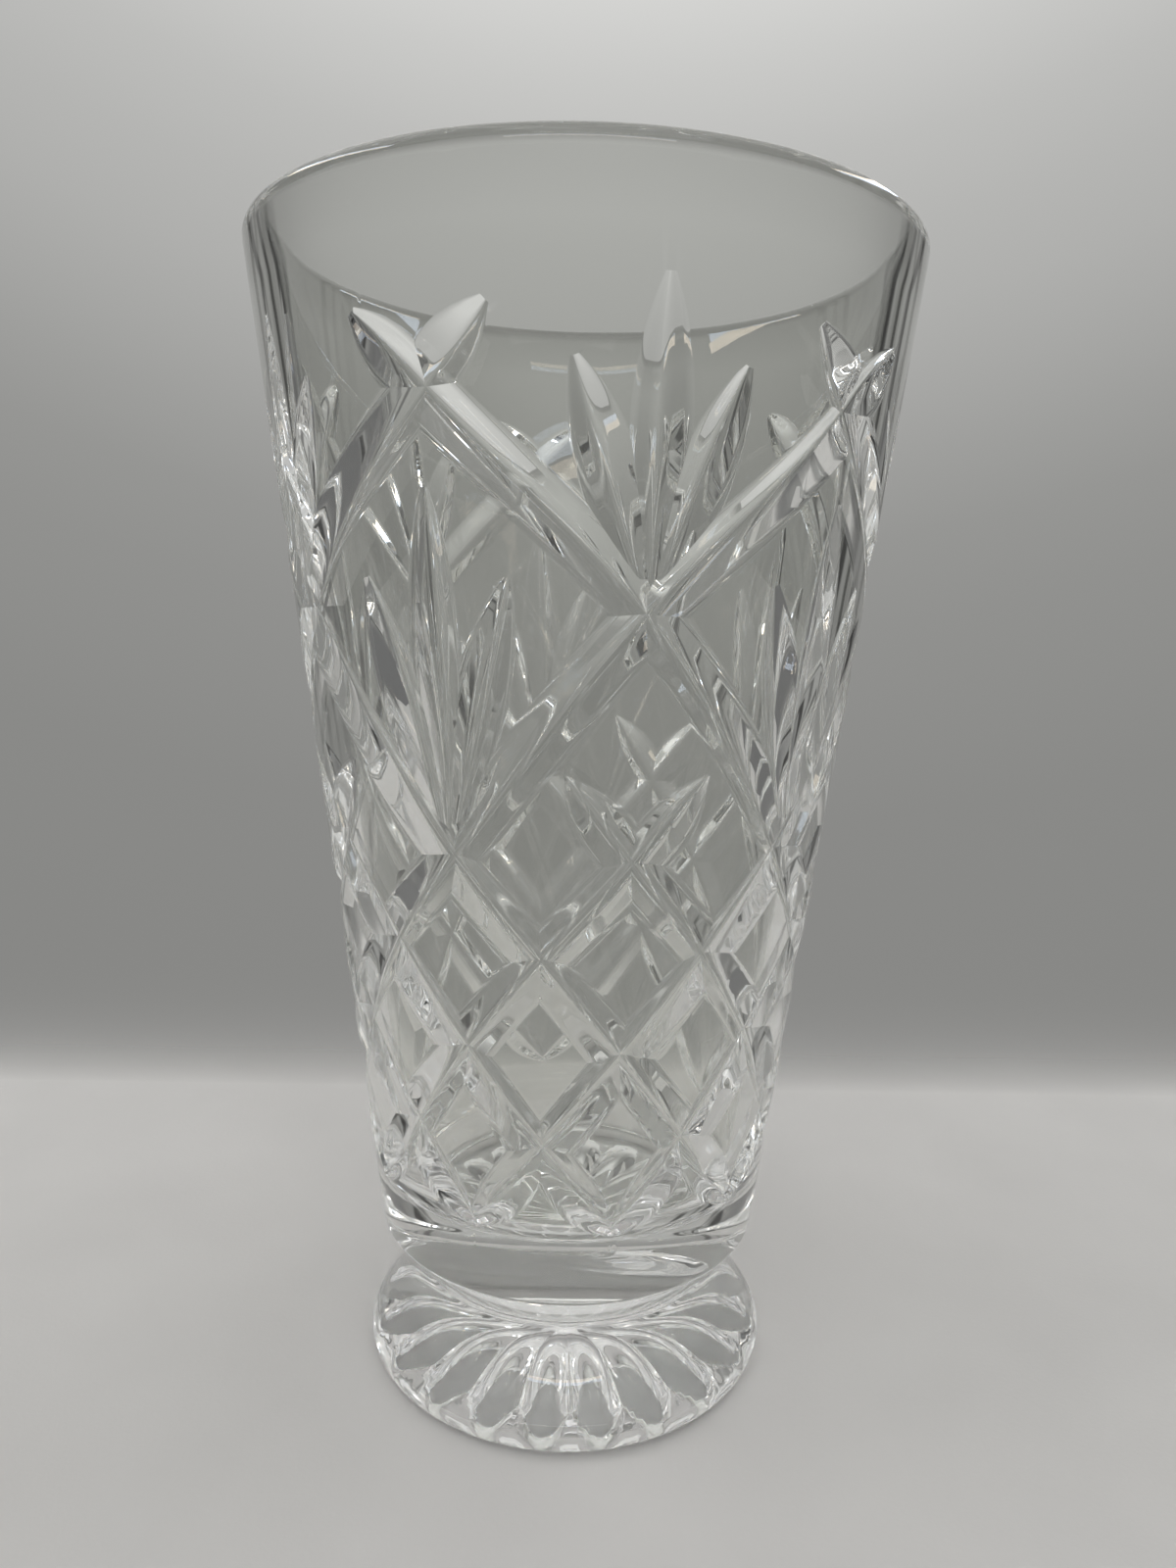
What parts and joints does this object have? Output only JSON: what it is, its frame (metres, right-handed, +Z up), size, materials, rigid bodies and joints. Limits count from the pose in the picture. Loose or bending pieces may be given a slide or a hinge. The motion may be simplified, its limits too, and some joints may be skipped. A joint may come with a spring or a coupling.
{
  "type": "footed cut crystal vase",
  "caption": "Tall flaring vase of clear cut crystal with a thick base, a narrow waist and a star-cut round foot, open at the top for flowers.",
  "frame": {"origin": "centre of the ring that the foot stands on", "axes": "+Z up along the axis of the vase; the middle of one upper fan of the cut pattern faces -Y"},
  "size_m": [0.1154, 0.1154, 0.203],
  "materials": {
    "crystal": "clear lead crystal, mitre cut and polished bright"
  },
  "bodies": {
    "root": {"bowl": "crystal", "joining_wafer": "crystal", "foot": "crystal"}
  },
  "joints": []
}
